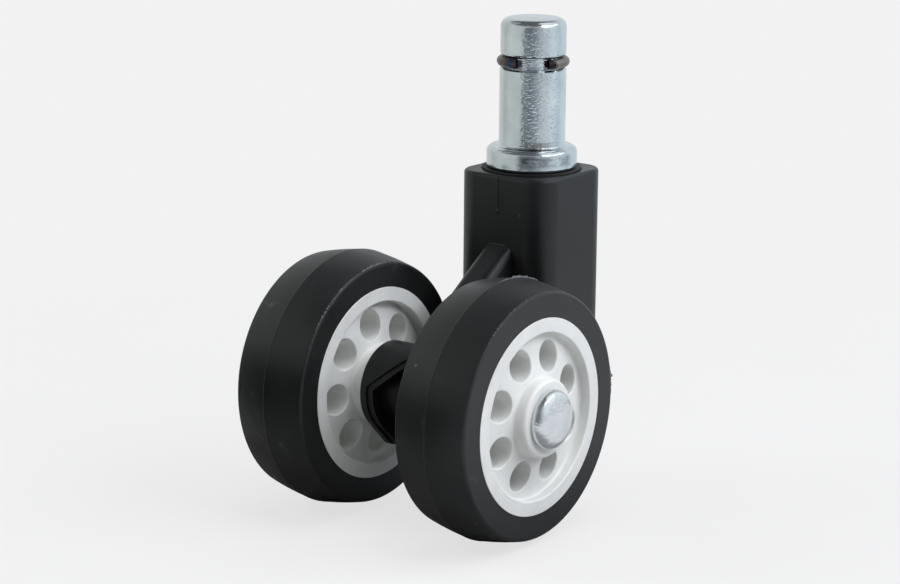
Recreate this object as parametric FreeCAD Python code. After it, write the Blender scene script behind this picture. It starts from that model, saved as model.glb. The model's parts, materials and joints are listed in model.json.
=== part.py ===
# Swivel caster for an office chair: a plated stem with a grip ring turns in a moulded housing,
# which carries two wheels on one riveted axle.
# Millimetres. The origin lies on the stem's axis where the chair's socket seats, on top of the collar.
# +Z runs up the stem, the axle lies along Y, and the wheels trail towards -X.
import FreeCAD
import Part
import math
import os

# Stem, from the seat on the collar upwards
stem_radius = 5.5
shank_length = 13.0
shank_lip_chamfer = 0.25
shank_foot_round = 0.45
groove_height = 1.95
groove_depth = 1.0
head_relief = 0.07
head_length = 6.3
head_top_round = 1.45
head_bottom_round = 0.55
head_dome_rise = 0.25

# Stem, from the seat on the collar downwards
collar_step = 2.0
collar_height = 3.55
collar_top_round = 1.1
collar_bottom_round = 0.45
journal_radius = 5.0
tail_end_length = 1.6
tail_chamfer = 0.6

# Grip ring in the stem's groove
ring_side_clearance = 0.2
ring_root_clearance = 0.2
ring_edge_inset = 0.1
ring_proud = 0.5
ring_gap_width = 5.4
ring_gap_direction = -145.5

# Washers and clip that hold the stem in the housing
thrust_washer_overhang = 0.7
thrust_washer_thickness = 0.85
thrust_washer_proud = 0.3
thrust_washer_seat_clearance = 0.12
thrust_clearance = 0.05
stem_washer_width = 1.5
stem_washer_thickness = 0.8
stem_washer_clearance = 0.1
clip_groove_depth = 0.8
clip_proud = 1.3
clip_thickness = 1.0
clip_clearance = 0.05
clip_gap_angle = 70.0

# Housing
trail = 28.3
axle_drop = 36.4
sleeve_wall = 0.78
sleeve_corner_radius = 4.0
sleeve_length = 30.5
sleeve_edge_round = 0.6
clip_recess_clearance = 0.4
clip_recess_depth = 6.0
arm_flat_width = 2.7
arm_edge_round = 1.5
arm_top_drop = 11.4
arm_inset = 1.05
arm_foot_rise = 1.5
arm_root_round = 0.5
arm_root_sink = 0.05
barrel_radius = 7.4
barrel_sink = 0.05
barrel_edge_round = 0.35
barrel_flank_angle = 45.0
keel_radius = 1.6
parting_groove_width = 0.2
parting_groove_depth = 0.08
parting_groove_length = 6.5

# Moulded pocket in the front of the barrel, under a gable and open below, with a stepped border
pocket_eave_height = 1.4
pocket_slope_angle = 41.0
pocket_side_wall = 1.4
pocket_border = 1.15
pocket_border_depth = 0.3
pocket_core_wall = 1.9

# Axle rivet
axle_radius = 3.0
rivet_overhang = 1.75
rivet_height = 1.95
rivet_dome_rise = 0.35
rivet_edge_round = 1.45
rivet_clearance = 0.1

# Wheels, which run beside the sleeve
wheel_side_clearance = 0.25
hub_side_clearance = 0.12
core_radius = 15.75
rim_width = 2.35
rim_proud = 0.1
rim_edge_round = 0.08
rim_inner_round = 0.2
recess_rim_depth = 1.65
recess_hub_depth = 0.5
recess_corner_round = 0.35
hub_land = 1.55
hub_proud = 1.6
hub_edge_round = 0.6
hub_foot_round = 0.4
hole_count = 8
hole_hub_land = 0.25
hole_rim_land = 0.7
hole_edge_round = 0.2
right_hole_turn = 24.0
left_hole_turn = 6.3
tyre_width = 13.4
tyre_depth = 4.0
tyre_crown_rise = 1.25
tyre_tread_bulge = 0.12
tyre_edge_round = 0.6
tyre_seam_height = 0.04
tyre_seam_width = 0.3

# Running fit of every shaft in its bore
running_clearance = 0.05

# Distance under which two places count as one
same_place = 0.001

# Radii about the stem that follow from these sizes
head_radius = stem_radius - head_relief
groove_root_radius = stem_radius - groove_depth
ring_inner_radius = groove_root_radius + ring_root_clearance
ring_edge_radius = stem_radius - ring_edge_inset
ring_crown_radius = stem_radius + ring_proud
collar_radius = stem_radius + collar_step
thrust_washer_radius = collar_radius + thrust_washer_overhang
washer_seat_radius = thrust_washer_radius + thrust_washer_seat_clearance
sleeve_half = washer_seat_radius + sleeve_wall
sleeve_width = 2 * sleeve_half
bearing_radius = journal_radius + running_clearance
stem_washer_bore = journal_radius + stem_washer_clearance
stem_washer_radius = stem_washer_bore + stem_washer_width
clip_groove_radius = journal_radius - clip_groove_depth
clip_radius = journal_radius + clip_proud
clip_recess_radius = stem_washer_radius + clip_recess_clearance

# Levels along the stem
ring_height = groove_height - 2 * ring_side_clearance
head_base = shank_length + groove_height
stem_top = head_base + head_length
thrust_top = -collar_height - thrust_clearance
thrust_bottom = thrust_top - thrust_washer_thickness
sleeve_top = thrust_top - thrust_washer_proud
sleeve_bottom = sleeve_top - sleeve_length
recess_ceiling = sleeve_bottom + clip_recess_depth
stem_washer_top = recess_ceiling - thrust_clearance
stem_washer_bottom = stem_washer_top - stem_washer_thickness
clip_top = stem_washer_bottom - clip_clearance
clip_groove_bottom = clip_top - clip_thickness - clip_clearance
tail_bottom = clip_groove_bottom - tail_end_length

# Radii about the axle
axle_bore_radius = axle_radius + running_clearance
rivet_radius = axle_radius + rivet_overhang
hub_radius = rivet_radius + hub_land
rim_inner_radius = core_radius - rim_width
web_inner_radius = hub_radius + hub_foot_round
web_outer_radius = rim_inner_radius - recess_corner_round
hole_inner_edge = web_inner_radius + hole_hub_land + hole_edge_round
hole_outer_edge = web_outer_radius - hole_rim_land - hole_edge_round
hole_circle_radius = (hole_inner_edge + hole_outer_edge) / 2
hole_radius = (hole_outer_edge - hole_inner_edge) / 2
tyre_edge_radius = core_radius + tyre_depth
tyre_crown_radius = tyre_edge_radius + tyre_crown_rise
arm_end_radius = barrel_radius - arm_inset
keel_drop = (barrel_radius - keel_radius) / math.sin(math.radians(barrel_flank_angle))

# Places along the axle, from the middle of the part
arm_width = arm_flat_width + 2 * arm_edge_round
face_half = tyre_width / 2
rim_half = face_half + rim_proud
hub_half = face_half + hub_proud
wheel_offset = sleeve_half + wheel_side_clearance + face_half
barrel_half = wheel_offset - hub_half - hub_side_clearance
rivet_base = wheel_offset + hub_half + rivet_clearance
up = FreeCAD.Vector(0, 0, 1)
along_axle = FreeCAD.Vector(0, 1, 0)
axle_centre = FreeCAD.Vector(-trail, 0, -axle_drop)
axle_turn = FreeCAD.Rotation(up, along_axle)


def section_point(point):
    """A (radius, height) pair as a point of the turned section."""
    radius, height = point
    return FreeCAD.Vector(radius, 0, height)


def turned(start, *steps):
    """Solid turned about the vertical axis; a step is the end of a line, or an arc's middle and end."""
    edges = []
    here = start
    for step in steps + (start,):
        if isinstance(step[0], tuple):
            middle, end = step
            curve = Part.Arc(section_point(here), section_point(middle), section_point(end))
        else:
            end = step
            curve = Part.LineSegment(section_point(here), section_point(end))
        edges.append(curve.toShape())
        here = end
    face = Part.Face(Part.Wire(edges))
    return face.revolve(FreeCAD.Vector(), up, 360)


def bulge(half_chord, rise, place):
    """Height of a circular arc over its chord, at a distance from the chord's middle."""
    radius = (half_chord ** 2 + rise ** 2) / (2 * rise)
    return rise - radius + math.sqrt(radius ** 2 - place ** 2)


def round_rings(solid, radius, *rings):
    """Rounds the circular edges of a turned solid that lie at the given (radius, height) pairs."""
    picked = []
    for edge in solid.Edges:
        if edge.Degenerated or not isinstance(edge.Curve, Part.Circle):
            continue
        centre = edge.Curve.Center
        for ring_radius, height in rings:
            same_radius = abs(edge.Curve.Radius - ring_radius) < same_place
            if same_radius and centre.distanceToPoint(up * height) < same_place:
                picked.append(edge)
    return solid.makeFillet(radius, picked)


def disc(radius, bottom, top, centre=(0, 0)):
    """Upright cylinder between two levels."""
    foot = FreeCAD.Vector(centre[0], centre[1], bottom)
    return Part.makeCylinder(radius, top - bottom, foot, up)


def on_axle(solid, offset):
    """Moves a solid turned about the vertical axis onto the axle, at an offset along it."""
    place = FreeCAD.Placement(axle_centre + along_axle * offset, axle_turn)
    moved = solid.copy()
    moved.transformShape(place.toMatrix(), True)
    return moved


def prism(corners, path):
    """Solid swept from a flat outline along a straight path."""
    return Part.Face(Part.makePolygon(corners + corners[:1])).extrude(path)


def make_stem():
    """Turned stem: domed head, ring groove, shank, collar, and the journal with its clip groove."""
    crown = stem_top - head_dome_rise
    half = head_radius / 2
    stem = turned(
        (0, tail_bottom),
        (journal_radius - tail_chamfer, tail_bottom),
        (journal_radius, tail_bottom + tail_chamfer),
        (journal_radius, clip_groove_bottom),
        (clip_groove_radius, clip_groove_bottom),
        (clip_groove_radius, clip_top + clip_clearance),
        (journal_radius, clip_top + clip_clearance),
        (journal_radius, -collar_height),
        (collar_radius, -collar_height),
        (collar_radius, 0),
        (stem_radius, 0),
        (stem_radius, shank_length - shank_lip_chamfer),
        (stem_radius - shank_lip_chamfer, shank_length),
        (groove_root_radius, shank_length),
        (groove_root_radius, head_base),
        (head_radius, head_base),
        (head_radius, crown),
        ((half, crown + bulge(head_radius, head_dome_rise, half)), (0, stem_top)),
    )
    stem = round_rings(stem, head_top_round, (head_radius, crown))
    stem = round_rings(stem, head_bottom_round, (head_radius, head_base))
    stem = round_rings(stem, collar_top_round, (collar_radius, 0))
    stem = round_rings(stem, shank_foot_round, (stem_radius, 0))
    return round_rings(stem, collar_bottom_round, (collar_radius, -collar_height))


def make_grip_ring():
    """Barrel-shaped spring ring, centred in the groove, with its gap cut square across."""
    middle = shank_length + groove_height / 2
    bottom = middle - ring_height / 2
    top = middle + ring_height / 2
    ring = turned(
        (ring_inner_radius, bottom),
        (ring_edge_radius, bottom),
        ((ring_crown_radius, middle), (ring_edge_radius, top)),
        (ring_inner_radius, top),
    )
    gap = Part.makeBox(ring_crown_radius, ring_gap_width, ring_height)
    gap.translate(FreeCAD.Vector(0, -ring_gap_width / 2, bottom))
    gap.rotate(FreeCAD.Vector(), up, ring_gap_direction)
    return ring.cut(gap)


def make_washer(radius, bore, bottom, thickness):
    """Plain flat washer."""
    return disc(radius, bottom, bottom + thickness).cut(disc(bore, bottom, bottom + thickness))


def make_stem_clip():
    """Open spring clip in the tail's groove, with its mouth towards the back."""
    bottom = clip_top - clip_thickness
    ring = make_washer(clip_radius, clip_groove_radius + clip_clearance, bottom, clip_thickness)
    half = math.radians(clip_gap_angle) / 2
    spread = clip_radius * math.tan(half)
    corners = [
        FreeCAD.Vector(0, 0, bottom),
        FreeCAD.Vector(clip_radius, -spread, bottom),
        FreeCAD.Vector(clip_radius, spread, bottom),
    ]
    return ring.cut(prism(corners, up * clip_thickness))


def make_sleeve():
    """Rounded square post around the stem, with its top and bottom edges rounded."""
    post = Part.makeBox(sleeve_width, sleeve_width, sleeve_length)
    post.translate(FreeCAD.Vector(-sleeve_half, -sleeve_half, sleeve_bottom))
    uprights = [edge for edge in post.Edges if edge.BoundBox.ZLength > same_place]
    post = post.makeFillet(sleeve_corner_radius, uprights)
    rims = [edge for edge in post.Edges if edge.BoundBox.ZLength < same_place]
    return post.makeFillet(sleeve_edge_round, rims)


def tangent_foot(point, radius, side):
    """Where a line from a point touches the circle about the axle, on its upper (+1) or lower (-1) side."""
    to_point = point - axle_centre
    heading = math.atan2(to_point.z, to_point.x)
    turn = heading + side * math.acos(radius / to_point.Length)
    return axle_centre + FreeCAD.Vector(math.cos(turn), 0, math.sin(turn)) * radius


def make_arm():
    """Sloping web between the sleeve and the barrel, hollowed into the sleeve, with rounded long edges."""
    upper = FreeCAD.Vector(arm_root_sink - sleeve_half, 0, sleeve_top - arm_top_drop)
    lower = FreeCAD.Vector(-sleeve_half, 0, sleeve_bottom + arm_foot_rise)
    upper_end = tangent_foot(upper, arm_end_radius, 1)
    lower_end = tangent_foot(lower, arm_end_radius, -1)
    root = FreeCAD.Vector(sleeve_half - bearing_radius, 0, 0)
    slope = (upper_end - upper).normalize()
    half_turn = slope.getAngle(up) / 2
    bisector = (slope + up).normalize()
    reach = arm_root_round / math.tan(half_turn)
    hollow_top = upper + up * reach
    hollow_foot = upper + slope * reach
    hollow_middle = upper + bisector * (arm_root_round / math.sin(half_turn) - arm_root_round)
    corners = [upper_end, axle_centre, lower_end, lower, lower + root, hollow_top + root, hollow_top]
    side = along_axle * (-arm_width / 2)
    hollow = Part.Arc(hollow_top + side, hollow_middle + side, hollow_foot + side)
    straights = Part.makePolygon([corner + side for corner in [hollow_foot] + corners])
    outline = Part.Wire(straights.Edges + [hollow.toShape()])
    web = Part.Face(outline).extrude(along_axle * arm_width)
    long_edges = []
    for start, end in ((hollow_foot, upper_end), (lower_end, lower)):
        for edge in web.Edges:
            off = edge.CenterOfMass - (start + end) / 2
            if math.hypot(off.x, off.z) < same_place:
                long_edges.append(edge)
    long_edges += [edge for edge in web.Edges if isinstance(edge.Curve, Part.Circle)]
    return web.makeFillet(arm_edge_round, long_edges)


def drop_bar(inset, half_length):
    """Bar along the axle: a large round above, joined by flat flanks to a small round below."""
    middle = axle_centre - up * barrel_sink - along_axle * half_length
    keel = middle - up * keel_drop
    large = barrel_radius - inset
    small = keel_radius - inset
    lean = math.radians(barrel_flank_angle)
    front = FreeCAD.Vector(-math.cos(lean), 0, -math.sin(lean))
    back = FreeCAD.Vector(math.cos(lean), 0, -math.sin(lean))
    curves = [
        Part.Arc(middle + front * large, middle + up * large, middle + back * large),
        Part.LineSegment(middle + back * large, keel + back * small),
        Part.Arc(keel + back * small, keel - up * small, keel + front * small),
        Part.LineSegment(keel + front * small, middle + front * large),
    ]
    outline = Part.Wire([curve.toShape() for curve in curves])
    return Part.Face(outline).extrude(along_axle * (2 * half_length))


def gable(half_width, eave):
    """Prism ahead of the axle under a pitched roof, open below."""
    rise = half_width * math.tan(math.radians(pocket_slope_angle))
    deep = -keel_drop - barrel_radius
    outline = [
        (-half_width, deep),
        (half_width, deep),
        (half_width, eave),
        (0, eave + rise),
        (-half_width, eave),
    ]
    corners = [axle_centre + FreeCAD.Vector(0, across, height) for across, height in outline]
    return prism(corners, FreeCAD.Vector(deep, 0, 0))


def axle_core(radius):
    """Cylinder along the axle that is as long as the barrel."""
    return on_axle(disc(radius, -barrel_half, barrel_half), 0)


def make_barrel():
    """Axle barrel with a stepped, gable-shaped pocket moulded into its front."""
    barrel = drop_bar(0, barrel_half)
    ends = [edge for edge in barrel.Edges if edge.BoundBox.YLength < same_place]
    barrel = barrel.makeFillet(barrel_edge_round, ends)
    half = barrel_half - pocket_side_wall
    border = gable(half, pocket_eave_height)
    border = border.cut(drop_bar(pocket_border_depth, barrel_half))
    eave_drop = pocket_border * math.tan(math.radians(pocket_slope_angle) / 2)
    pocket = gable(half - pocket_border, pocket_eave_height - eave_drop)
    pocket = pocket.cut(axle_core(axle_bore_radius + pocket_core_wall))
    return barrel.cut(border).cut(pocket)


def make_housing():
    """One moulding: sleeve, arm and barrel, bored for the stem, its washers and the axle."""
    housing = make_sleeve().fuse(make_arm()).fuse(make_barrel()).removeSplitter()
    housing = housing.cut(disc(bearing_radius, sleeve_bottom, sleeve_top))
    housing = housing.cut(disc(washer_seat_radius, thrust_bottom, sleeve_top))
    housing = housing.cut(disc(clip_recess_radius, sleeve_bottom, recess_ceiling))
    housing = housing.cut(axle_core(axle_bore_radius))
    for front in (-sleeve_half, sleeve_half - parting_groove_depth):
        groove = Part.makeBox(parting_groove_depth, parting_groove_width, parting_groove_length)
        foot = sleeve_top - parting_groove_length
        groove.translate(FreeCAD.Vector(front, -parting_groove_width / 2, foot))
        housing = housing.cut(groove)
    return housing


def make_wheel_core(hole_turn, offset):
    """Moulded core: hub proud of both faces, dished web with a ring of holes, flat rim."""
    hub_floor = face_half - recess_hub_depth
    rim_floor = face_half - recess_rim_depth
    core = turned(
        (axle_bore_radius, -hub_half),
        (hub_radius, -hub_half),
        (hub_radius, -hub_floor),
        (rim_inner_radius, -rim_floor),
        (rim_inner_radius, -rim_half),
        (core_radius, -rim_half),
        (core_radius, rim_half),
        (rim_inner_radius, rim_half),
        (rim_inner_radius, rim_floor),
        (hub_radius, hub_floor),
        (hub_radius, hub_half),
        (axle_bore_radius, hub_half),
    )
    rounds = (
        (rim_edge_round, core_radius, rim_half),
        (rim_inner_round, rim_inner_radius, rim_half),
        (recess_corner_round, rim_inner_radius, rim_floor),
        (hub_foot_round, hub_radius, hub_floor),
        (hub_edge_round, hub_radius, hub_half),
    )
    for radius, ring_radius, level in rounds:
        core = round_rings(core, radius, (ring_radius, -level), (ring_radius, level))
    for index in range(hole_count):
        turn = math.radians(hole_turn + 360 / hole_count * index)
        centre = (hole_circle_radius * math.cos(turn), -hole_circle_radius * math.sin(turn))
        core = core.cut(disc(hole_radius, -hub_half, hub_half, centre))
    rims = []
    for face in core.Faces:
        if isinstance(face.Surface, Part.Cylinder) and abs(face.Surface.Radius - hole_radius) < same_place:
            rims += [edge for edge in face.Edges if not isinstance(edge.Curve, Part.Line)]
    return on_axle(core.makeFillet(hole_edge_round, rims), offset)


def make_tyre(offset):
    """Solid tyre with flat faces, a tread that peaks at the mould's fine seam, and bulging halves."""
    def tread(along):
        """Radius of the tread at a distance from its middle."""
        peak = tyre_crown_rise * (1 - along / face_half)
        return tyre_edge_radius + peak + bulge(face_half / 2, tyre_tread_bulge, along - face_half / 2)

    seam_half = tyre_seam_width / 2
    quarter = (face_half + seam_half) / 2
    tyre = turned(
        (core_radius, -face_half),
        (tyre_edge_radius, -face_half),
        ((tread(quarter), -quarter), (tread(seam_half), -seam_half)),
        (tyre_crown_radius + tyre_seam_height, 0),
        (tread(seam_half), seam_half),
        ((tread(quarter), quarter), (tyre_edge_radius, face_half)),
        (core_radius, face_half),
    )
    edges = ((tyre_edge_radius, -face_half), (tyre_edge_radius, face_half))
    return on_axle(round_rings(tyre, tyre_edge_round, *edges), offset)


def make_axle():
    """Rivet with a domed head on each end, outside the hubs."""
    end = rivet_base + rivet_height
    rim = end - rivet_dome_rise
    half = rivet_radius / 2
    dome = rim + bulge(rivet_radius, rivet_dome_rise, half)
    axle = turned(
        (0, -end),
        ((half, -dome), (rivet_radius, -rim)),
        (rivet_radius, -rivet_base),
        (axle_radius, -rivet_base),
        (axle_radius, rivet_base),
        (rivet_radius, rivet_base),
        (rivet_radius, rim),
        ((half, dome), (0, end)),
    )
    return on_axle(round_rings(axle, rivet_edge_round, (rivet_radius, -rim), (rivet_radius, rim)), 0)


parts = {
    "stem": make_stem(),
    "grip_ring": make_grip_ring(),
    "thrust_washer": make_washer(
        thrust_washer_radius, bearing_radius, thrust_bottom, thrust_washer_thickness
    ),
    "housing": make_housing(),
    "stem_washer": make_washer(
        stem_washer_radius, stem_washer_bore, stem_washer_bottom, stem_washer_thickness
    ),
    "stem_clip": make_stem_clip(),
    "axle": make_axle(),
    "right_wheel_core": make_wheel_core(right_hole_turn, -wheel_offset),
    "right_tyre": make_tyre(-wheel_offset),
    "left_wheel_core": make_wheel_core(left_hole_turn, wheel_offset),
    "left_tyre": make_tyre(wheel_offset),
}

os.makedirs("parts", exist_ok=True)
for name, shape in parts.items():
    state = "valid" if shape.isValid() else "NOT VALID"
    print(name, state, len(shape.Solids), "solids", round(shape.Volume, 2), "mm3")
    shape.exportStep("parts/" + name + ".step")
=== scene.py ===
# %% [markdown]
# # An office chair caster
# A swivel caster has a plated steel stem that plugs into a chair's base, a black moulded housing
# that turns on it, and two wheels on one riveted axle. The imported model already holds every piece
# at its true size and place. This lesson gives the pieces their finish, adds the thin flash that
# moulding leaves on the tyres, and photographs the caster on a pale table.

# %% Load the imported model
import json
import math
import random

import bmesh
import bpy
from mathutils import Matrix, Vector


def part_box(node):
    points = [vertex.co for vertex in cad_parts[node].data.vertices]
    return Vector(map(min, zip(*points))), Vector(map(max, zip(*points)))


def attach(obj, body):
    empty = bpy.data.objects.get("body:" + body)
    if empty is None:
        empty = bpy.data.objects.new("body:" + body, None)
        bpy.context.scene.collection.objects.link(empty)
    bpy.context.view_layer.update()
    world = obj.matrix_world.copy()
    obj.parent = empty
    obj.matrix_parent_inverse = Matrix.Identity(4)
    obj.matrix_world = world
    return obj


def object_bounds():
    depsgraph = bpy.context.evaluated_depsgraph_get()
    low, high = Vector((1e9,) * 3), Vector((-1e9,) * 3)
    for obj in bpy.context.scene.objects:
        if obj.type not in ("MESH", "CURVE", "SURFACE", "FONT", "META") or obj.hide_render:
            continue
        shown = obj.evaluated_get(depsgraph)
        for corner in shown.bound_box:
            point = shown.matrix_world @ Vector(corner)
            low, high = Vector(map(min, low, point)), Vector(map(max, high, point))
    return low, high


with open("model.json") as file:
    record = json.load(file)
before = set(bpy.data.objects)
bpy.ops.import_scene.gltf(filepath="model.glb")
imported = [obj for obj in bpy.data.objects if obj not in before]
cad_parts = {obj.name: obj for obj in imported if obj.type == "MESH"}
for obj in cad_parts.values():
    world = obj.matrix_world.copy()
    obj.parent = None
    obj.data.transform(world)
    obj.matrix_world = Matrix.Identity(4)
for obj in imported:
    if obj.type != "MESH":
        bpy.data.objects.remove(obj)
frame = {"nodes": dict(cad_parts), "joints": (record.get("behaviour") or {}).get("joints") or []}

MM = 0.001
nodes = frame["nodes"]
cad_low, cad_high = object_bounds()
middle = (cad_low + cad_high) / 2
print("pieces:", sorted(nodes))
print("size in mm:", [round(side / MM, 1) for side in cad_high - cad_low])

# %% [markdown]
# ## The camera
# The picture was taken with a long lens, from the trailing side of the near wheel and a little
# above the axle. The camera could be placed by eye. It is placed by angles instead: it looks at a
# point beside the foot of the stem's collar, from a known side, height and distance, with a very
# slight tilt.

# %% Place the camera
collar_foot = Vector((0, 0, -3.55 * MM))
aim_aside = -13.506 * MM
aim_up = -20.96 * MM
camera_distance = 458.85 * MM
camera_azimuth = math.radians(-52.651)
camera_elevation = math.radians(13.603)
camera_roll = math.radians(0.508)
lens_mm = 110.8
sensor_mm = 36.0
nearest_seen = 10 * MM


def heading(azimuth, elevation):
    """Unit vector from the caster to a place around it; azimuth 0 is in front of the near wheel."""
    level = math.cos(elevation)
    return Vector((math.sin(azimuth) * level, -math.cos(azimuth) * level, math.sin(elevation)))


back = heading(camera_azimuth, camera_elevation)
level_right = Vector((math.cos(camera_azimuth), math.sin(camera_azimuth), 0))
level_up = back.cross(level_right)
right = level_right * math.cos(camera_roll) + level_up * math.sin(camera_roll)
up = level_up * math.cos(camera_roll) - level_right * math.sin(camera_roll)
aim = collar_foot + right * aim_aside + up * aim_up

camera = bpy.data.objects.new("camera", bpy.data.cameras.new("camera"))
bpy.context.scene.collection.objects.link(camera)
camera.data.lens = lens_mm
camera.data.sensor_width = sensor_mm
camera.data.clip_start = nearest_seen
turn = Matrix((right, up, back)).transposed().to_4x4()
camera.matrix_world = Matrix.Translation(aim + back * camera_distance) @ turn
bpy.context.scene.camera = camera
print("camera at, in mm:", [round(x / MM, 1) for x in camera.matrix_world.translation])

# %% [markdown]
# ## Colours and pattern sizes
# Colours are written as the sRGB hex values that a paint program shows, and Blender's shaders want
# linear light, so one function turns the first into the second. Pattern sizes are real sizes in
# millimetres, and two more functions turn them into the scale that a noise or a wave texture asks
# for. The numbers could be typed in ready-made, but then nobody could tell what they stand for.


# %% Helpers for colours and pattern sizes
def linear(hex_colour):
    """Linear RGBA of an sRGB hex colour such as "#c8d0d4"."""
    channels = [int(hex_colour[i:i + 2], 16) / 255 for i in (1, 3, 5)]
    return [c / 12.92 if c <= 0.04045 else ((c + 0.055) / 1.055) ** 2.4 for c in channels] + [1.0]


def per_size(size_mm):
    """Texture scale at which one feature of the pattern is about that many millimetres."""
    return 1 / (size_mm * MM)


def per_wave(pitch_mm):
    """Scale of a wave texture whose bands are that many millimetres apart."""
    return math.tau / 20 / (pitch_mm * MM)


print("a middle grey, in linear light:", round(linear("#808080")[0], 3))

# %% [markdown]
# ## Nodes
# A material is a tree of nodes. One function adds a node of any kind, sets its options, and fills
# or links its inputs, so that each line below reads as one node. Colour ramps need their stops set
# one by one, which a second function does. Several finishes on this caster change with the
# direction round the stem, so a third turns a direction into a colour.


# %% Helpers for nodes
def add(tree, kind, inputs=None, **options):
    """Adds one shader node; an input is a value, or the socket of another node to link from."""
    node = tree.nodes.new("ShaderNode" + kind)
    for option, value in options.items():
        setattr(node, option, value)
    for name, value in (inputs or {}).items():
        if isinstance(value, bpy.types.NodeSocket):
            tree.links.new(value, node.inputs[name])
        else:
            node.inputs[name].default_value = value
    return node


def ramp(node, *stops):
    """Sets a colour ramp's stops from (place, hex colour) pairs."""
    elements = node.color_ramp.elements
    while len(elements) > len(stops):
        elements.remove(elements[-1])
    while len(elements) < len(stops):
        elements.new(1.0)
    for element, (place, colour) in zip(elements, stops):
        element.position = place
        element.color = linear(colour)
    return node.outputs["Color"]


def direction_ramp(tree, place, wander, stops):
    """Colours by direction round the stem, from (degrees, hex) pairs; wander shifts borders."""
    from_front = add(tree, "Mapping", {"Vector": place, "Rotation": (0, 0, math.radians(90))})
    turn = add(
        tree, "TexGradient", {"Vector": from_front.outputs["Vector"]}, gradient_type="RADIAL")
    shifted = add(tree, "Math", {0: turn.outputs["Fac"], 1: wander})
    places = [(degrees / 360 + 0.5, colour) for degrees, colour in stops]
    return ramp(add(tree, "ValToRGB", {"Fac": shifted.outputs[0]}), *places)


def new_material(name):
    """Empty node material with its output; returns the material, its tree and the output node."""
    material = bpy.data.materials.new(name)
    material.use_nodes = True
    material.node_tree.nodes.clear()
    output = add(material.node_tree, "OutputMaterial")
    return material, material.node_tree, output


print("made the helpers", [helper.__name__ for helper in (add, ramp, direction_ramp, new_material)])

# %% [markdown]
# ## Zinc plate: dents and turning lines
# The stem is turned from bar and plated with zinc, which is then passivated to a faint blue. The
# plate is bright, so the eye sees mostly a mirror image of the room, and any unevenness shows in
# how that image bends. The collar and the rivet's heads were upset by blows, which left broad
# shallow dents, and the groove still has its turning lines. They could be modelled, but they are
# about a tenth of a millimetre deep and change no outline, so they are bumps in the material.

# %% Places on the plated pieces
rolls = {joint["name"]: Vector(joint["pos_m"]) for joint in frame["joints"]}
axle = Vector((rolls["right_roll"].x, 0, rolls["right_roll"].z))
ring_low, ring_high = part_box("grip_ring")
groove_middle = (ring_low.z + ring_high.z) / 2
groove_half = (ring_high.z - ring_low.z) / 2 + 0.15 * MM
stem_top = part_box("stem")[1].z
seat_blend = 0.5 * MM
print("axle at, in mm:", [round(x / MM, 2) for x in axle])
print("groove and stem's top above the seat, in mm:",
      round(groove_middle / MM, 2), round(stem_top / MM, 2))

# %% Dents and turning lines
head_middle = 1.1 * MM
head_blend = 0.2 * MM
# Real turning lines are closer together and would not show, so they are drawn two pixels apart.
lathe_pitch_mm = 0.36
lathe_depth = 0.03 * MM


def head_facing(tree, place):
    """Direction a surface faces; a rivet head's middle uses its flat faces, as its pole leans."""
    off_axle = add(tree, "Mapping", {
        "Vector": place, "Location": (-axle.x, 0, -axle.z), "Scale": (1, 0, 1)})
    away = add(tree, "VectorMath", {0: off_axle.outputs["Vector"]}, operation="LENGTH")
    at_middle = add(tree, "MapRange", {
        "Value": away.outputs["Value"], "From Min": head_middle,
        "From Max": head_middle + head_blend, "To Min": 1.0, "To Max": 0.0})
    face = add(tree, "NewGeometry")
    facing = add(tree, "Mix", {
        0: at_middle.outputs["Result"], 4: face.outputs["Normal"], 5: face.outputs["True Normal"]},
        data_type="VECTOR")
    return facing.outputs[1]


def upset_dents(tree, place, height, dent_mm, dent_height_mm):
    """Normal with broad shallow dents on what lies below the seat."""
    dents = add(tree, "TexNoise", {"Vector": place, "Scale": per_size(dent_mm), "Detail": 1.0})
    below_seat = add(tree, "MapRange", {
        "Value": height, "From Min": 0.0, "From Max": seat_blend, "To Min": 1.0, "To Max": 0.0})
    rise = add(tree, "Math", {
        0: dents.outputs["Fac"], 1: below_seat.outputs["Result"]}, operation="MULTIPLY")
    bump = add(tree, "Bump", {
        "Height": rise.outputs[0], "Distance": dent_height_mm * MM,
        "Normal": head_facing(tree, place)})
    return bump.outputs["Normal"]


def turning_lines(tree, place, height, beneath):
    """Normal with the lathe's lines in the ring's groove, over the normal beneath."""
    in_groove = add(
        tree, "Math", {0: height, 1: groove_middle, 2: groove_half}, operation="COMPARE")
    lathe = add(
        tree, "TexWave", {"Vector": place, "Scale": per_wave(lathe_pitch_mm)}, bands_direction="Z")
    rise = add(
        tree, "Math", {0: lathe.outputs["Fac"], 1: in_groove.outputs[0]}, operation="MULTIPLY")
    bump = add(tree, "Bump", {
        "Height": rise.outputs[0], "Distance": lathe_depth, "Normal": beneath})
    return bump.outputs["Normal"]


print("turning lines across the groove:", round(2 * groove_half / (lathe_pitch_mm * MM)))

# %% [markdown]
# ## Zinc plate: wrinkles
# One side of the stem was plated rough, and the mirror image there breaks up into small wrinkles,
# wider round the stem than along it. A noise that is squeezed along the stem gives that shape. A
# ramp by direction keeps it to the rough side. It is weaker below the seat and ends below the top.

# %% Wrinkles
# How rough the plate is, from black for smooth to white for rough, by direction round the stem.
rough_side = (
    (-180, "#282828"), (-78, "#282828"), (-71, "#ffffff"), (-12, "#ffffff"),
    (20, "#686868"), (180, "#282828"))
wrinkle_squeeze = (0.6, 0.6, 1.0)
below_seat_share = 0.2
wrinkles_fade = 1.5 * MM
wrinkles_end = 0.7 * MM


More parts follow.
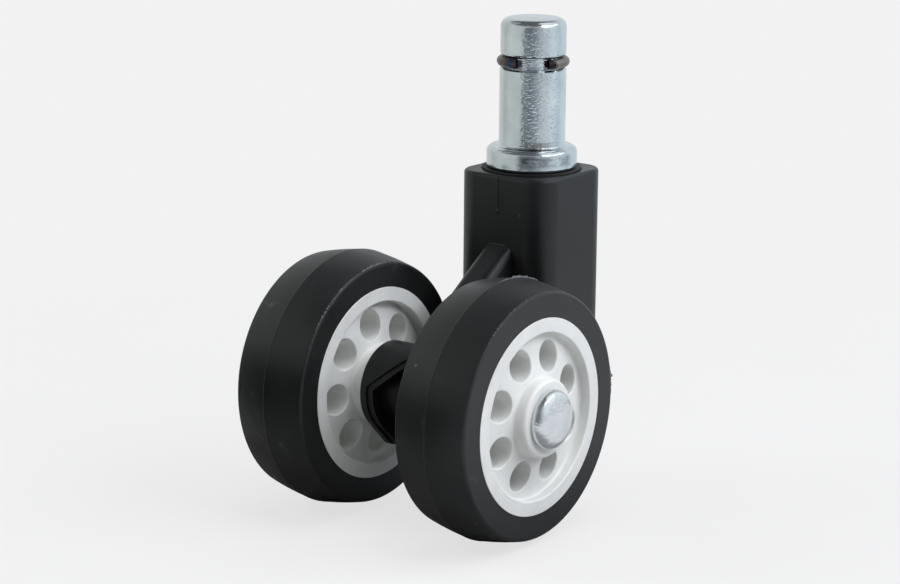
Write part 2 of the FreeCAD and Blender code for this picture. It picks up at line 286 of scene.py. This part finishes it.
def wrinkles(tree, place, height, stretched, wrinkle_mm, wrinkle_height_mm, beneath):
    """Normal with fine wrinkles on the rough side, over the normal beneath."""
    crinkle = add(tree, "TexNoise", {
        "Vector": stretched, "Scale": per_size(wrinkle_mm), "Detail": 1.5, "Roughness": 0.5})
    both_ways = add(tree, "MapRange", {
        "Value": crinkle.outputs["Fac"], "To Min": -0.5, "To Max": 0.5})
    above_seat = add(tree, "MapRange", {
        "Value": height, "From Min": 0.0, "From Max": seat_blend,
        "To Min": below_seat_share, "To Max": 1.0})
    below_top = add(tree, "MapRange", {
        "Value": height, "From Min": stem_top - wrinkles_fade, "From Max": stem_top - wrinkles_end,
        "To Min": 1.0, "To Max": 0.0})
    on_shank = add(tree, "Math", {
        0: above_seat.outputs["Result"], 1: below_top.outputs["Result"]}, operation="MULTIPLY")
    rough_place = add(tree, "Math", {
        0: direction_ramp(tree, place, 0.0, rough_side), 1: on_shank.outputs[0]},
        operation="MULTIPLY")
    rise = add(tree, "Math", {
        0: both_ways.outputs["Result"], 1: rough_place.outputs[0]}, operation="MULTIPLY")
    bump = add(tree, "Bump", {
        "Height": rise.outputs[0], "Distance": wrinkle_height_mm * MM, "Normal": beneath})
    return bump.outputs["Normal"]


print("the wrinkles end", round(wrinkles_end / MM, 1), "mm below the stem's top")

# %% [markdown]
# ## Zinc plate: painted dark reflections
# The corner at the shank's foot gets a brown painted dark reflection. The collar's wall gets dull
# patches that are painted dark reflections too. Both lie on the side that faces the camera. Both
# are darker colours mixed into the plate's own. The share of each is a product of three things:
# a band in height, a ramp by direction round the stem, and a noise that breaks it up.

# %% Painted dark reflections at the shank's foot and on the collar
# Painted dark reflection in the corner at the shank's foot, on the side that faces the camera.
painted_foot_reflection_half = 0.6 * MM
painted_foot_reflection_side = (
    (-180, "#000000"), (-71, "#000000"), (-66, "#ffffff"), (-40, "#d8d8d8"),
    (-14, "#909090"), (0, "#000000"), (180, "#000000"))
# Painted dark reflections in patches on the collar's wall, on the side that faces the camera.
painted_collar_reflection_mm = 0.8
painted_collar_reflection_middle = -1.7 * MM
painted_collar_reflection_half = 1.1 * MM
painted_collar_reflection_side = (
    (-180, "#000000"), (-70, "#000000"), (-67, "#ffffff"), (-42, "#f0f0f0"),
    (-30, "#c8c8c8"), (0, "#c8c8c8"), (8, "#000000"), (180, "#000000"))


def painted_foot_reflection_share(tree, place, height, clouds):
    """How much brown painted dark reflection covers the plate, in the corner at the shank's foot."""
    at_foot = add(tree, "Math", {0: height, 1: painted_foot_reflection_half, 2: painted_foot_reflection_half}, operation="COMPARE")
    patches = add(tree, "MapRange", {
        "Value": clouds, "From Min": 0.35, "From Max": 0.5, "To Min": 0.2, "To Max": 0.9})
    on_side = add(tree, "Math", {
        0: patches.outputs["Result"], 1: direction_ramp(tree, place, 0.0, painted_foot_reflection_side)},
        operation="MULTIPLY")
    share = add(
        tree, "Math", {0: at_foot.outputs[0], 1: on_side.outputs[0]}, operation="MULTIPLY")
    return share.outputs[0]


def painted_collar_reflection_share(tree, place, height, stretched):
    """How much of the plate gets dull patches of painted dark reflection, on the collar's wall."""
    from_middle = add(tree, "Math", {0: height, 1: painted_collar_reflection_middle}, operation="SUBTRACT")
    distance = add(tree, "Math", {0: from_middle.outputs[0]}, operation="ABSOLUTE")
    in_band = add(tree, "MapRange", {
        "Value": distance.outputs[0], "From Min": painted_collar_reflection_half / 2, "From Max": painted_collar_reflection_half,
        "To Min": 1.0, "To Max": 0.0})
    patch_noise = add(tree, "TexNoise", {
        "Vector": stretched, "Scale": per_size(painted_collar_reflection_mm), "Detail": 3.0, "Roughness": 0.6})
    patches = add(tree, "MapRange", {
        "Value": patch_noise.outputs["Fac"], "From Min": 0.38, "From Max": 0.6,
        "To Min": 0.1, "To Max": 0.9})
    on_band = add(tree, "Math", {
        0: patches.outputs["Result"], 1: in_band.outputs["Result"]}, operation="MULTIPLY")
    share = add(tree, "Math", {
        0: on_band.outputs[0], 1: direction_ramp(tree, place, 0.0, painted_collar_reflection_side)},
        operation="MULTIPLY")
    return share.outputs[0]


# Heights of the two painted dark reflections, above and below the seat.
print("stain and smears lie", 2 * painted_foot_reflection_half / MM, "mm above and",
      round((painted_collar_reflection_half - painted_collar_reflection_middle) / MM, 1), "mm below the seat")

# %% [markdown]
# ## Zinc plate: the whole finish
# The plate itself is a pale blue-grey metal, slightly clouded in colour and gloss. The stem is
# bright. The rivet's heads are paler and duller, because the blows that formed them broke up the
# surface. Both finishes come from one function, with the bumps laid one over the other.


# %% Zinc plate
def zinc_plate(
        name, light, dark, wrinkle_mm, wrinkle_height_mm, dent_mm, dent_height_mm, roughness):
    """Bright zinc plate between two tints, with its relief and its painted dark reflections."""
    material, tree, output = new_material(name)
    place = add(tree, "TexCoord").outputs["Object"]
    height = add(tree, "SeparateXYZ", {"Vector": place}).outputs["Z"]
    squeezed = add(tree, "Mapping", {"Vector": place, "Scale": wrinkle_squeeze})
    stretched = squeezed.outputs["Vector"]
    cloud_noise = add(tree, "TexNoise", {"Vector": place, "Scale": per_size(4.0), "Detail": 4.0})
    clouds = cloud_noise.outputs["Fac"]
    tint = ramp(add(tree, "ValToRGB", {"Fac": clouds}), (0.35, dark), (0.65, light))
    # Brown painted dark reflection in the corner at the shank's foot.
    with_painted_foot_reflection = add(tree, "Mix", {
        0: painted_foot_reflection_share(tree, place, height, clouds), 6: tint, 7: linear("#5f5048")},
        data_type="RGBA")
    # Dull grey painted dark reflections in patches on the collar's wall.
    colour = add(tree, "Mix", {
        0: painted_collar_reflection_share(tree, place, height, stretched), 6: with_painted_foot_reflection.outputs[2],
        7: linear("#6e7377")}, data_type="RGBA")
    gloss = add(tree, "MapRange", {
        "Value": clouds, "From Min": 0.3, "From Max": 0.7,
        "To Min": roughness * 0.8, "To Max": roughness * 1.25})
    dented = upset_dents(tree, place, height, dent_mm, dent_height_mm)
    lined = turning_lines(tree, place, height, dented)
    wrinkled = wrinkles(
        tree, place, height, stretched, wrinkle_mm, wrinkle_height_mm, lined)
    surface = add(tree, "BsdfPrincipled", {
        "Base Color": colour.outputs[2], "Metallic": 1.0, "Roughness": gloss.outputs["Result"],
        "Normal": wrinkled})
    tree.links.new(surface.outputs["BSDF"], output.inputs["Surface"])
    return material


# A sharp mirror that wrinkles break up down one side.
stem_zinc = zinc_plate(
    "zinc plate, turned", light="#d4dcdf", dark="#c6ced2", wrinkle_mm=0.42, wrinkle_height_mm=0.11,
    dent_mm=2.6, dent_height_mm=0.12, roughness=0.14)
# A blurred mirror, paler, with a soft ragged highlight.
rivet_zinc = zinc_plate(
    "zinc plate, riveted", light="#e4e8e9", dark="#d0d6d8", wrinkle_mm=0.6, wrinkle_height_mm=0.25,
    dent_mm=2.4, dent_height_mm=0.1, roughness=0.23)
print("made", stem_zinc.name, "and", rivet_zinc.name)

# %% [markdown]
# ## Blued spring steel
# The grip ring is hardened spring steel. Tempering leaves an oxide film whose thickness gives the
# colours: straw and brown where it was cooler, deep blue where it was hotter, and bare grey where
# it has been rubbed. They follow each other along the ring, so they are set by direction round the
# stem, and a soft noise makes their borders wander.

# %% Blued spring steel
temper_colours = (
    (-180, "#4c4642"), (-130, "#6b6762"), (-112, "#625950"), (-106, "#5e4a3e"), (-100, "#33475f"),
    (-91, "#304a66"), (-87, "#5e4638"), (-73, "#4a3f39"), (-33, "#282630"), (-18, "#2c2529"),
    (-12, "#7e7a72"), (25, "#76726a"), (60, "#3a393e"), (120, "#2c3f5c"), (180, "#4c4642"))
temper_wander = 0.03


def blued_steel():
    """Dark spring steel whose temper colours change along the ring."""
    material, tree, output = new_material("blued spring steel")
    place = add(tree, "TexCoord").outputs["Object"]
    patches = add(tree, "TexNoise", {"Vector": place, "Scale": per_size(1.5), "Detail": 2.0})
    wander = add(tree, "MapRange", {
        "Value": patches.outputs["Fac"], "To Min": -temper_wander, "To Max": temper_wander})
    tint = direction_ramp(tree, place, wander.outputs["Result"], temper_colours)
    grain = add(tree, "TexNoise", {"Vector": place, "Scale": per_size(0.3), "Detail": 2.0})
    bump = add(tree, "Bump", {"Height": grain.outputs["Fac"], "Distance": 0.02 * MM})
    surface = add(tree, "BsdfPrincipled", {
        "Base Color": tint, "Metallic": 1.0, "Roughness": 0.36, "Normal": bump.outputs["Normal"]})
    tree.links.new(surface.outputs["BSDF"], output.inputs["Surface"])
    return material


# A dark satin metal with brown, blue and grey stretches.
blued = blued_steel()
print("made", blued.name, "with", len(temper_colours), "temper colours")

# %% [markdown]
# ## Black mouldings
# The housing is nylon from a lightly spark-eroded mould: a satin black with a very fine grain,
# whose gloss wanders a little. The thrust washer is taken as the same nylon with less gloss. The
# tyres are black polyurethane, a shade greyer, and the floor has scuffed them. The thin flash on
# the tyres is pale grey, a painted highlight for the light that catches its thin edges. These four
# differ only in colour, grain, gloss, refraction and scuffs, so one function makes them all.


# %% Black mouldings
def black_moulding(name, deep, worn, grain_mm, roughness, refraction, scuffing):
    """Satin moulding between two tints, with a grain, uneven gloss, specks of dust and scuffs."""
    material, tree, output = new_material(name)
    place = add(tree, "TexCoord").outputs["Object"]
    flow = add(tree, "TexNoise", {"Vector": place, "Scale": per_size(7.0), "Detail": 5.0})
    tint = ramp(add(tree, "ValToRGB", {"Fac": flow.outputs["Fac"]}), (0.35, deep), (0.7, worn))
    dust = add(tree, "TexVoronoi", {"Vector": place, "Scale": per_size(6.0)})
    specks = add(tree, "MapRange", {
        "Value": dust.outputs["Distance"], "From Min": 0.02, "From Max": 0.05,
        "To Min": 0.35, "To Max": 0.0})
    patch_noise = add(tree, "TexNoise", {
        "Vector": place, "Scale": per_size(5.0), "Detail": 6.0, "Roughness": 0.7})
    scuffs = add(tree, "MapRange", {
        "Value": patch_noise.outputs["Fac"], "From Min": 0.64, "From Max": 0.72,
        "To Min": 0.0, "To Max": scuffing})
    dusty = add(tree, "Mix", {
        0: specks.outputs["Result"], 6: tint, 7: linear("#8d8d88")}, data_type="RGBA")
    colour = add(tree, "Mix", {
        0: scuffs.outputs["Result"], 6: dusty.outputs[2], 7: linear("#4a4b48")}, data_type="RGBA")
    gloss = add(tree, "MapRange", {
        "Value": flow.outputs["Fac"], "From Min": 0.3, "From Max": 0.7,
        "To Min": roughness - 0.05, "To Max": roughness + 0.05})
    # The real grain is finer than a pixel, so grain_mm draws it a pixel or two wide.
    grain = add(tree, "TexNoise", {"Vector": place, "Scale": per_size(grain_mm), "Detail": 2.0})
    bump = add(tree, "Bump", {
        "Height": grain.outputs["Fac"], "Strength": 0.5, "Distance": 0.01 * MM})
    surface = add(tree, "BsdfPrincipled", {
        "Base Color": colour.outputs[2], "Roughness": gloss.outputs["Result"], "IOR": refraction,
        "Normal": bump.outputs["Normal"]})
    tree.links.new(surface.outputs["BSDF"], output.inputs["Surface"])
    return material


# Deep black with soft broad highlights.
housing_nylon = black_moulding(
    "nylon, satin moulded", deep="#0e0e0f", worn="#121213", grain_mm=0.2, roughness=0.38,
    refraction=1.46, scuffing=0.1)
# Deep black with hardly any highlight.
washer_nylon = black_moulding(
    "nylon, matt moulded", deep="#0a0a0b", worn="#0e0e0f", grain_mm=0.2, roughness=0.6,
    refraction=1.46, scuffing=0.1)
# A softer black that the light greys, with pale scuffs.
tyre_rubber = black_moulding(
    "polyurethane, moulded", deep="#111212", worn="#161716", grain_mm=0.3, roughness=0.46,
    refraction=1.5, scuffing=0.5)
# A pale grey, a painted highlight that shows against the black tyre as a thin pale line.
flash_painted_highlight = black_moulding(
    "polyurethane flash, painted highlight", deep="#6c6d6f", worn="#828384", grain_mm=0.3, roughness=0.5,
    refraction=1.5, scuffing=0.3)
print("made", housing_nylon.name, washer_nylon.name, tyre_rubber.name, flash_painted_highlight.name)

# %% [markdown]
# ## White moulding
# The wheel cores are white polypropylene. Light goes a short way into it, which softens the shade
# in the holes, so the shader scatters it under the surface. The mould was turned, so fine rings
# about the axle show on the rim and the web. A wave texture centred on the axle draws them.


# %% White moulding
def white_moulding():
    """Satin white moulding with slight clouding, a few dirt specks and the mould's fine rings."""
    material, tree, output = new_material("polypropylene, moulded white")
    place = add(tree, "TexCoord").outputs["Object"]
    on_axle = add(tree, "Mapping", {"Vector": place, "Location": -axle})
    clouds = add(tree, "TexNoise", {"Vector": place, "Scale": per_size(4.0), "Detail": 5.0})
    tint = ramp(add(tree, "ValToRGB", {"Fac": clouds.outputs["Fac"]}),
                (0.35, "#e0e1dd"), (0.65, "#e8e9e5"))
    dirt = add(tree, "TexVoronoi", {"Vector": place, "Scale": per_size(7.0)})
    specks = add(tree, "MapRange", {
        "Value": dirt.outputs["Distance"], "From Min": 0.02, "From Max": 0.045,
        "To Min": 0.3, "To Max": 0.0})
    colour = add(tree, "Mix", {
        0: specks.outputs["Result"], 6: tint, 7: linear("#8f9284")}, data_type="RGBA")
    # The tool's real rings are finer than a pixel, so they are drawn four pixels apart.
    rings = add(tree, "TexWave", {
        "Vector": on_axle.outputs["Vector"], "Scale": per_wave(0.7), "Distortion": 1.0,
        "Detail": 1.0}, wave_type="RINGS", rings_direction="Y")
    ringed = add(tree, "Bump", {"Height": rings.outputs["Fac"], "Distance": 0.006 * MM})
    grain = add(tree, "TexNoise", {"Vector": place, "Scale": per_size(0.5), "Detail": 3.0})
    bump = add(tree, "Bump", {
        "Height": grain.outputs["Fac"], "Distance": 0.006 * MM,
        "Normal": ringed.outputs["Normal"]})
    surface = add(tree, "BsdfPrincipled", {
        "Base Color": colour.outputs[2], "Roughness": 0.42, "IOR": 1.49,
        "Normal": bump.outputs["Normal"], "Subsurface Weight": 0.1,
        "Subsurface Radius": (1.0, 1.0, 1.0), "Subsurface Scale": 0.5 * MM})
    tree.links.new(surface.outputs["BSDF"], output.inputs["Surface"])
    return material


# A soft white with gentle shade and a faint satin shine.
core_white = white_moulding()
print("made", core_white.name)

# %% [markdown]
# ## Dress the pieces
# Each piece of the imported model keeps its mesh, and only its material slots change. The washer and
# the clip inside the sleeve can't be seen, and each gets the finish of a visible piece of its metal.

# %% Give each piece its finish
finishes = {
    "stem": stem_zinc,
    "stem_washer": stem_zinc,
    "grip_ring": blued,
    "stem_clip": blued,
    "thrust_washer": washer_nylon,
    "housing": housing_nylon,
    "axle": rivet_zinc,
    "right_wheel_core": core_white,
    "left_wheel_core": core_white,
    "right_tyre": tyre_rubber,
    "left_tyre": tyre_rubber,
}
for name, material in finishes.items():
    slots = nodes[name].material_slots
    for slot in slots:
        slot.material = material
    print(name, "has", len(nodes[name].data.polygons), "faces and", len(slots), "slots")

# %% [markdown]
# ## Flash on the tyres
# Where the parts of a mould meet, a little of the tyre's material creeps out and sets as a thin
# ragged fin, called flash. Short fins stand on the tyres' edges and on the near tyre's middle seam,
# one of them with a longer nib, and low lips run on along the upper arcs of the edges. All of them
# are pale grey as a painted highlight, and the lips are painted highlight lines where the light
# catches the tyres' upper edges. A torn edge could be drawn in a material, but it stands out from
# the outline. So each fin is a strip that is spun about the axle, after which its free points are
# pulled outwards by uneven amounts and it gets a thickness.

# %% How a fin is made
fin_thickness = 0.08 * MM
fin_start = 0.01 * MM
steps_per_degree = 2
least_steps = 8
least_rise_share = 0.3
nib_rise = 1.0 * MM
nib_half_deg = 0.8


def flash(name, body, across, root_mm, reach_mm, from_deg, to_deg, seed, nib_deg=None):
    """Ragged fin along part of a tyre's edge; a longer nib stands near one direction."""
    draw = random.Random(seed)
    strip = bmesh.new()
    start = math.radians(from_deg)
    out = Vector((math.cos(start), 0, math.sin(start)))
    middle_of_wheel = Vector((axle.x, across, axle.z))
    root = strip.verts.new(middle_of_wheel + out * (root_mm * MM))
    tip = strip.verts.new(middle_of_wheel + out * (root_mm * MM + fin_start))
    fin = strip.edges.new((root, tip))
    bmesh.ops.spin(
        strip, geom=[root, tip, fin], cent=middle_of_wheel, axis=(0, -1, 0),
        angle=math.radians(to_deg - from_deg),
        steps=max(least_steps, round((to_deg - from_deg) * steps_per_degree)))
    for vert in strip.verts:
        spoke = vert.co - middle_of_wheel
        if spoke.length > root_mm * MM + fin_start / 2:
            angle = math.degrees(math.atan2(spoke.z, spoke.x))
            along = (angle - from_deg) / (to_deg - from_deg)
            swell = math.sin(math.pi * min(max(along, 0.0), 1.0)) ** 0.5
            rise = swell * draw.uniform(least_rise_share, 1.0) * reach_mm * MM
            if nib_deg is not None and abs(angle - nib_deg) < nib_half_deg:
                rise = nib_rise
            vert.co += spoke.normalized() * rise
    bmesh.ops.recalc_face_normals(strip, faces=strip.faces)
    bmesh.ops.solidify(strip, geom=strip.faces[:], thickness=fin_thickness)
    mesh = bpy.data.meshes.new(name)
    strip.to_mesh(mesh)
    strip.free()
    mesh.materials.append(flash_painted_highlight)
    piece = bpy.data.objects.new(name, mesh)
    bpy.context.scene.collection.objects.link(piece)
    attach(piece, body)
    return piece


print("a fin is", round(fin_thickness / MM, 2), "mm thick")

# %% Fins and lips
edge_inset = 0.25 * MM
edge_radius_mm = 19.4
seam_radius_mm = 20.9
right_low, right_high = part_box("right_tyre")
left_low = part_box("left_tyre")[0]
right_edge = right_low.y + edge_inset
right_seam = (right_low.y + right_high.y) / 2
left_edge = left_low.y + edge_inset
flashes = [
    flash("right_edge_flash", "right_wheel", right_edge, edge_radius_mm, reach_mm=0.8,
          from_deg=-6, to_deg=15, seed=3, nib_deg=6.8),
    flash("right_seam_flash", "right_wheel", right_seam, seam_radius_mm, reach_mm=0.5,
          from_deg=66, to_deg=97, seed=5),
    # A painted highlight: a pale low strip along the near tyre's upper edge, where the light catches
    # it.
    flash("right_edge_lip_painted_highlight", "right_wheel", right_edge, edge_radius_mm, reach_mm=0.5,
          from_deg=70, to_deg=160, seed=11),
    flash("left_edge_flash", "left_wheel", left_edge, edge_radius_mm, reach_mm=0.65,
          from_deg=76, to_deg=109, seed=8),
    # A painted highlight: a pale low strip along the far tyre's upper edge, where the light catches
    # it.
    flash("left_edge_lip_painted_highlight", "left_wheel", left_edge, edge_radius_mm, reach_mm=0.5,
          from_deg=100, to_deg=165, seed=13),
]
print("flash:", [piece.name for piece in flashes])

# %% [markdown]
# ## The pale surroundings
# The caster stands on a pale table that runs into a pale background, so no edge shows. The white
# could come from strong lamps, but they would bleach the caster. So the world has two faces. To
# the camera and in mirrors it is a plain pale colour that darkens towards a ceiling. The light that
# it sheds on the caster is a weak even fill.

# %% Pale world
backdrop = "#f2f2f2"
ceiling = "#6a6d70"
wall_top = math.sin(math.radians(28))
ceiling_edge = math.sin(math.radians(55))
fill_colour = "#f0f3fa"
fill_strength = 0.17

world = bpy.data.worlds.new("pale surroundings")
bpy.context.scene.world = world
world.use_nodes = True
tree = world.node_tree
tree.nodes.clear()
path = add(tree, "LightPath")
mirrored = add(tree, "Math", {
    0: path.outputs["Is Camera Ray"], 1: path.outputs["Is Glossy Ray"]})
seen = add(tree, "Math", {
    0: mirrored.outputs[0], 1: path.outputs["Is Transmission Ray"]}, use_clamp=True)
towards = add(tree, "SeparateXYZ", {"Vector": add(tree, "TexCoord").outputs["Generated"]})
climb = add(tree, "MapRange", {
    "Value": towards.outputs["Z"], "From Min": wall_top, "From Max": ceiling_edge},
    interpolation_type="SMOOTHSTEP")
studio = ramp(
    add(tree, "ValToRGB", {"Fac": climb.outputs["Result"]}), (0.0, backdrop), (1.0, ceiling))
lighting = add(tree, "Background", {"Color": linear(fill_colour), "Strength": fill_strength})
shown = add(tree, "Background", {"Color": studio, "Strength": 1.0})
both = add(tree, "MixShader", {0: seen.outputs[0], 1: lighting.outputs[0], 2: shown.outputs[0]})
add(tree, "OutputWorld", {"Surface": both.outputs[0]})
print("backdrop", backdrop, "under a ceiling of", ceiling)

# %% [markdown]
# ## The table
# The camera sees the table in the backdrop's colour, with a share of its own shading close to the
# caster, so that the caster still throws a soft shadow. Mirrors meet the backdrop's colour further
# out. Closer in, they and the light that bounces meet a table that is grey right under the caster,
# as if it stood on a small grey card, which keeps the undersides dark.

# %% The table's finish
shadow_share = 0.2
shadow_reach = 0.3
# Greys of the table by nearness to the caster, which is 1 under it and 0 where the reach ends.
table_greys = ((0.42, "#a8a8a8"), (0.62, "#dedede"), (0.78, "#dedede"), (0.86, "#8c8c8c"))

floor_material, tree, output = new_material("pale table")
place = add(tree, "TexCoord").outputs["Object"]
grain = add(tree, "TexNoise", {"Vector": place, "Scale": per_size(40.0)})
pale = ramp(
    add(tree, "ValToRGB", {"Fac": grain.outputs["Fac"]}), (0.3, "#dedede"), (0.7, "#e1e1e1"))
from_caster = add(tree, "Mapping", {"Vector": place, "Location": (-axle.x, 0, -cad_low.z)})
reach = add(tree, "Mapping", {
    "Vector": from_caster.outputs["Vector"], "Scale": [1 / shadow_reach] * 3})
ball = add(tree, "TexGradient", {"Vector": reach.outputs["Vector"]}, gradient_type="SPHERICAL")
nearness = ball.outputs["Fac"]
shadow = add(tree, "MapRange", {
    "Value": nearness, "From Min": 0.2, "From Max": 0.7, "To Min": 0.0, "To Max": shadow_share},
    interpolation_type="SMOOTHSTEP")
further_out = add(tree, "MapRange", {
    "Value": nearness, "From Min": 0.15, "From Max": 0.3, "To Min": 1.0, "To Max": 0.0})
path = add(tree, "LightPath")
mirrored = add(tree, "Math", {
    0: path.outputs["Is Glossy Ray"], 1: path.outputs["Is Transmission Ray"]}, use_clamp=True)
mirrored_share = add(tree, "Math", {
    0: mirrored.outputs[0], 1: further_out.outputs["Result"]}, operation="MULTIPLY")
glow = add(tree, "Emission", {"Color": linear(backdrop), "Strength": 1.0})
lit = add(tree, "BsdfDiffuse", {"Color": pale})
lit_greys = add(tree, "BsdfDiffuse", {
    "Color": ramp(add(tree, "ValToRGB", {"Fac": nearness}), *table_greys)})
shown = add(tree, "MixShader", {0: shadow.outputs["Result"], 1: glow.outputs[0], 2: lit.outputs[0]})
unseen = add(tree, "MixShader", {
    0: mirrored_share.outputs[0], 1: lit_greys.outputs[0], 2: glow.outputs[0]})
surface = add(tree, "MixShader", {
    0: path.outputs["Is Camera Ray"], 1: unseen.outputs[0], 2: shown.outputs[0]})
tree.links.new(surface.outputs[0], output.inputs["Surface"])
print("nearness ends", shadow_reach, "m from the foot of the wheels")

# %% The table
floor_radius = 4.0
disc = bmesh.new()
bmesh.ops.create_circle(
    disc, cap_ends=True, segments=64, radius=floor_radius,
    matrix=Matrix.Translation((0, 0, cad_low.z)))
floor_mesh = bpy.data.meshes.new("floor")
disc.to_mesh(floor_mesh)
disc.free()
floor_mesh.materials.append(floor_material)
floor = bpy.data.objects.new("floor", floor_mesh)
bpy.context.scene.collection.objects.link(floor)
print("floor at", round(cad_low.z / MM, 2), "mm")

# %% [markdown]
# ## The lamps
# One wide soft box to the right and above gives most of the light, and it is the only one that the
# metal mirrors. A lamp overhead and one at the far left only lift the shade, so they are hidden
# from mirror rays and leave no highlights of their own.


# %% Soft boxes
def soft_box(name, azimuth_deg, elevation_deg, distance, width, height, watts, colour):
    """Oblong area light that faces the middle of the caster; sizes are in metres."""
    light = bpy.data.lights.new(name, "AREA")
    light.shape = "RECTANGLE"
    light.size = width
    light.size_y = height
    light.energy = watts
    light.color = linear(colour)[:3]
    box = bpy.data.objects.new(name, light)
    bpy.context.scene.collection.objects.link(box)
    towards = heading(math.radians(azimuth_deg), math.radians(elevation_deg))
    box.location = middle + towards * distance
    box.rotation_mode = "QUATERNION"
    box.rotation_quaternion = towards.to_track_quat("Z", "Y")
    return box


soft_box(
    "key, right", azimuth_deg=22, elevation_deg=42, distance=0.9, width=0.9, height=0.5, watts=7.7,
    colour="#f3f6ff")
overhead = soft_box(
    "top", azimuth_deg=-20, elevation_deg=80, distance=0.8, width=0.5, height=0.5, watts=3.0,
    colour="#ffffff")
far_left = soft_box(
    "fill, left", azimuth_deg=-150, elevation_deg=35, distance=1.0, width=0.5, height=0.5,
    watts=4.0, colour="#fbfdff")
for lamp in (overhead, far_left):
    lamp.visible_glossy = False
print("lamps:", sorted(light.name for light in bpy.data.lights))

# %% [markdown]
# ## Cards round the caster
# A bright cylinder on a white table mirrors nothing but white and looks flat. A photographer stands
# cards round it, out of the picture. A tall one all the way round is darker in front, which gives
# the stem its soft dark band. Two low dark ones at the left, one over the other, let the black
# faces on that side go deep. Two more hang high: a white one at the right and a grey one on the far
# side, which the arm's sloping top mirrors. A card is a curved sheet that only mirror rays can see,
# with its greys set by the direction it stands in.

# %% How a card is made
card_facets = 64


def card(name, from_deg, to_deg, radius, bottom, top, greys):
    """Curved upright sheet about the stem's axis; greys are (direction, hex grey) pairs."""
    sheet = bmesh.new()
    start = heading(math.radians(from_deg), 0) * radius
    foot = sheet.verts.new((start.x, start.y, bottom))
    head = sheet.verts.new((start.x, start.y, top))
    edge = sheet.edges.new((foot, head))
    bmesh.ops.spin(
        sheet, geom=[foot, head, edge], cent=(0, 0, 0), axis=(0, 0, 1),
        angle=math.radians(to_deg - from_deg), steps=card_facets,
        use_merge=to_deg - from_deg == 360)
    bmesh.ops.recalc_face_normals(sheet, faces=sheet.faces)
    mesh = bpy.data.meshes.new(name)
    sheet.to_mesh(mesh)
    sheet.free()
    material, tree, output = new_material(name)
    place = add(tree, "TexCoord").outputs["Object"]
    glow = add(tree, "Emission", {"Color": direction_ramp(tree, place, 0.0, greys)})
    tree.links.new(glow.outputs[0], output.inputs["Surface"])
    mesh.materials.append(material)
    sheet_object = bpy.data.objects.new(name, mesh)
    bpy.context.scene.collection.objects.link(sheet_object)
    for ray in ("camera", "diffuse", "transmission", "volume_scatter", "shadow"):
        setattr(sheet_object, "visible_" + ray, False)
    return sheet_object


print("a card is bent in", card_facets, "facets")

# %% Cards
tall_radius = 200 * MM
low_radius = 80 * MM
high_radius = 300 * MM
low_card_foot = -40 * MM
cards = [
    card("tall_card", -180, 180, tall_radius, cad_low.z, 150 * MM, (
        (-180, "#dadcdb"), (-166, "#caceca"), (-140, "#d9dddb"), (-95, "#d2d6d6"),
        (-84, "#878e93"), (-66, "#787f84"), (-48, "#92999e"), (-22, "#cdd4d9"), (20, "#f0f8fd"),
        (45, "#d2dfe8"), (63, "#e2ecf3"), (180, "#dadcdb"))),
    card("low_card", -134, -80, low_radius, low_card_foot, -21 * MM, (
        (-134, "#0c0c0c"), (-122, "#0c0c0c"), (-116, "#383838"), (-80, "#404040"))),
    card("foot_card", -134, -80, low_radius, cad_low.z, low_card_foot, (
        (-134, "#1a1a1a"), (-122, "#1a1a1a"), (-116, "#5a5a5a"), (-80, "#5a5a5a"))),
    card("right_high_card", 0, 85, high_radius, 260 * MM, 1500 * MM, (
        (0, "#f4f8fc"), (85, "#f4f8fc"))),
    card("left_high_card", -180, -150, high_radius, 330 * MM, 640 * MM, (
        (-180, "#b0b4b6"), (-150, "#b0b4b6"))),
]
print("cards:", [sheet.name for sheet in cards])

# %% [markdown]
# ## Colour management
# The colour management is plain, so that a colour renders as it is written.

# %% Finish
bpy.context.scene.view_settings.view_transform = "Standard"
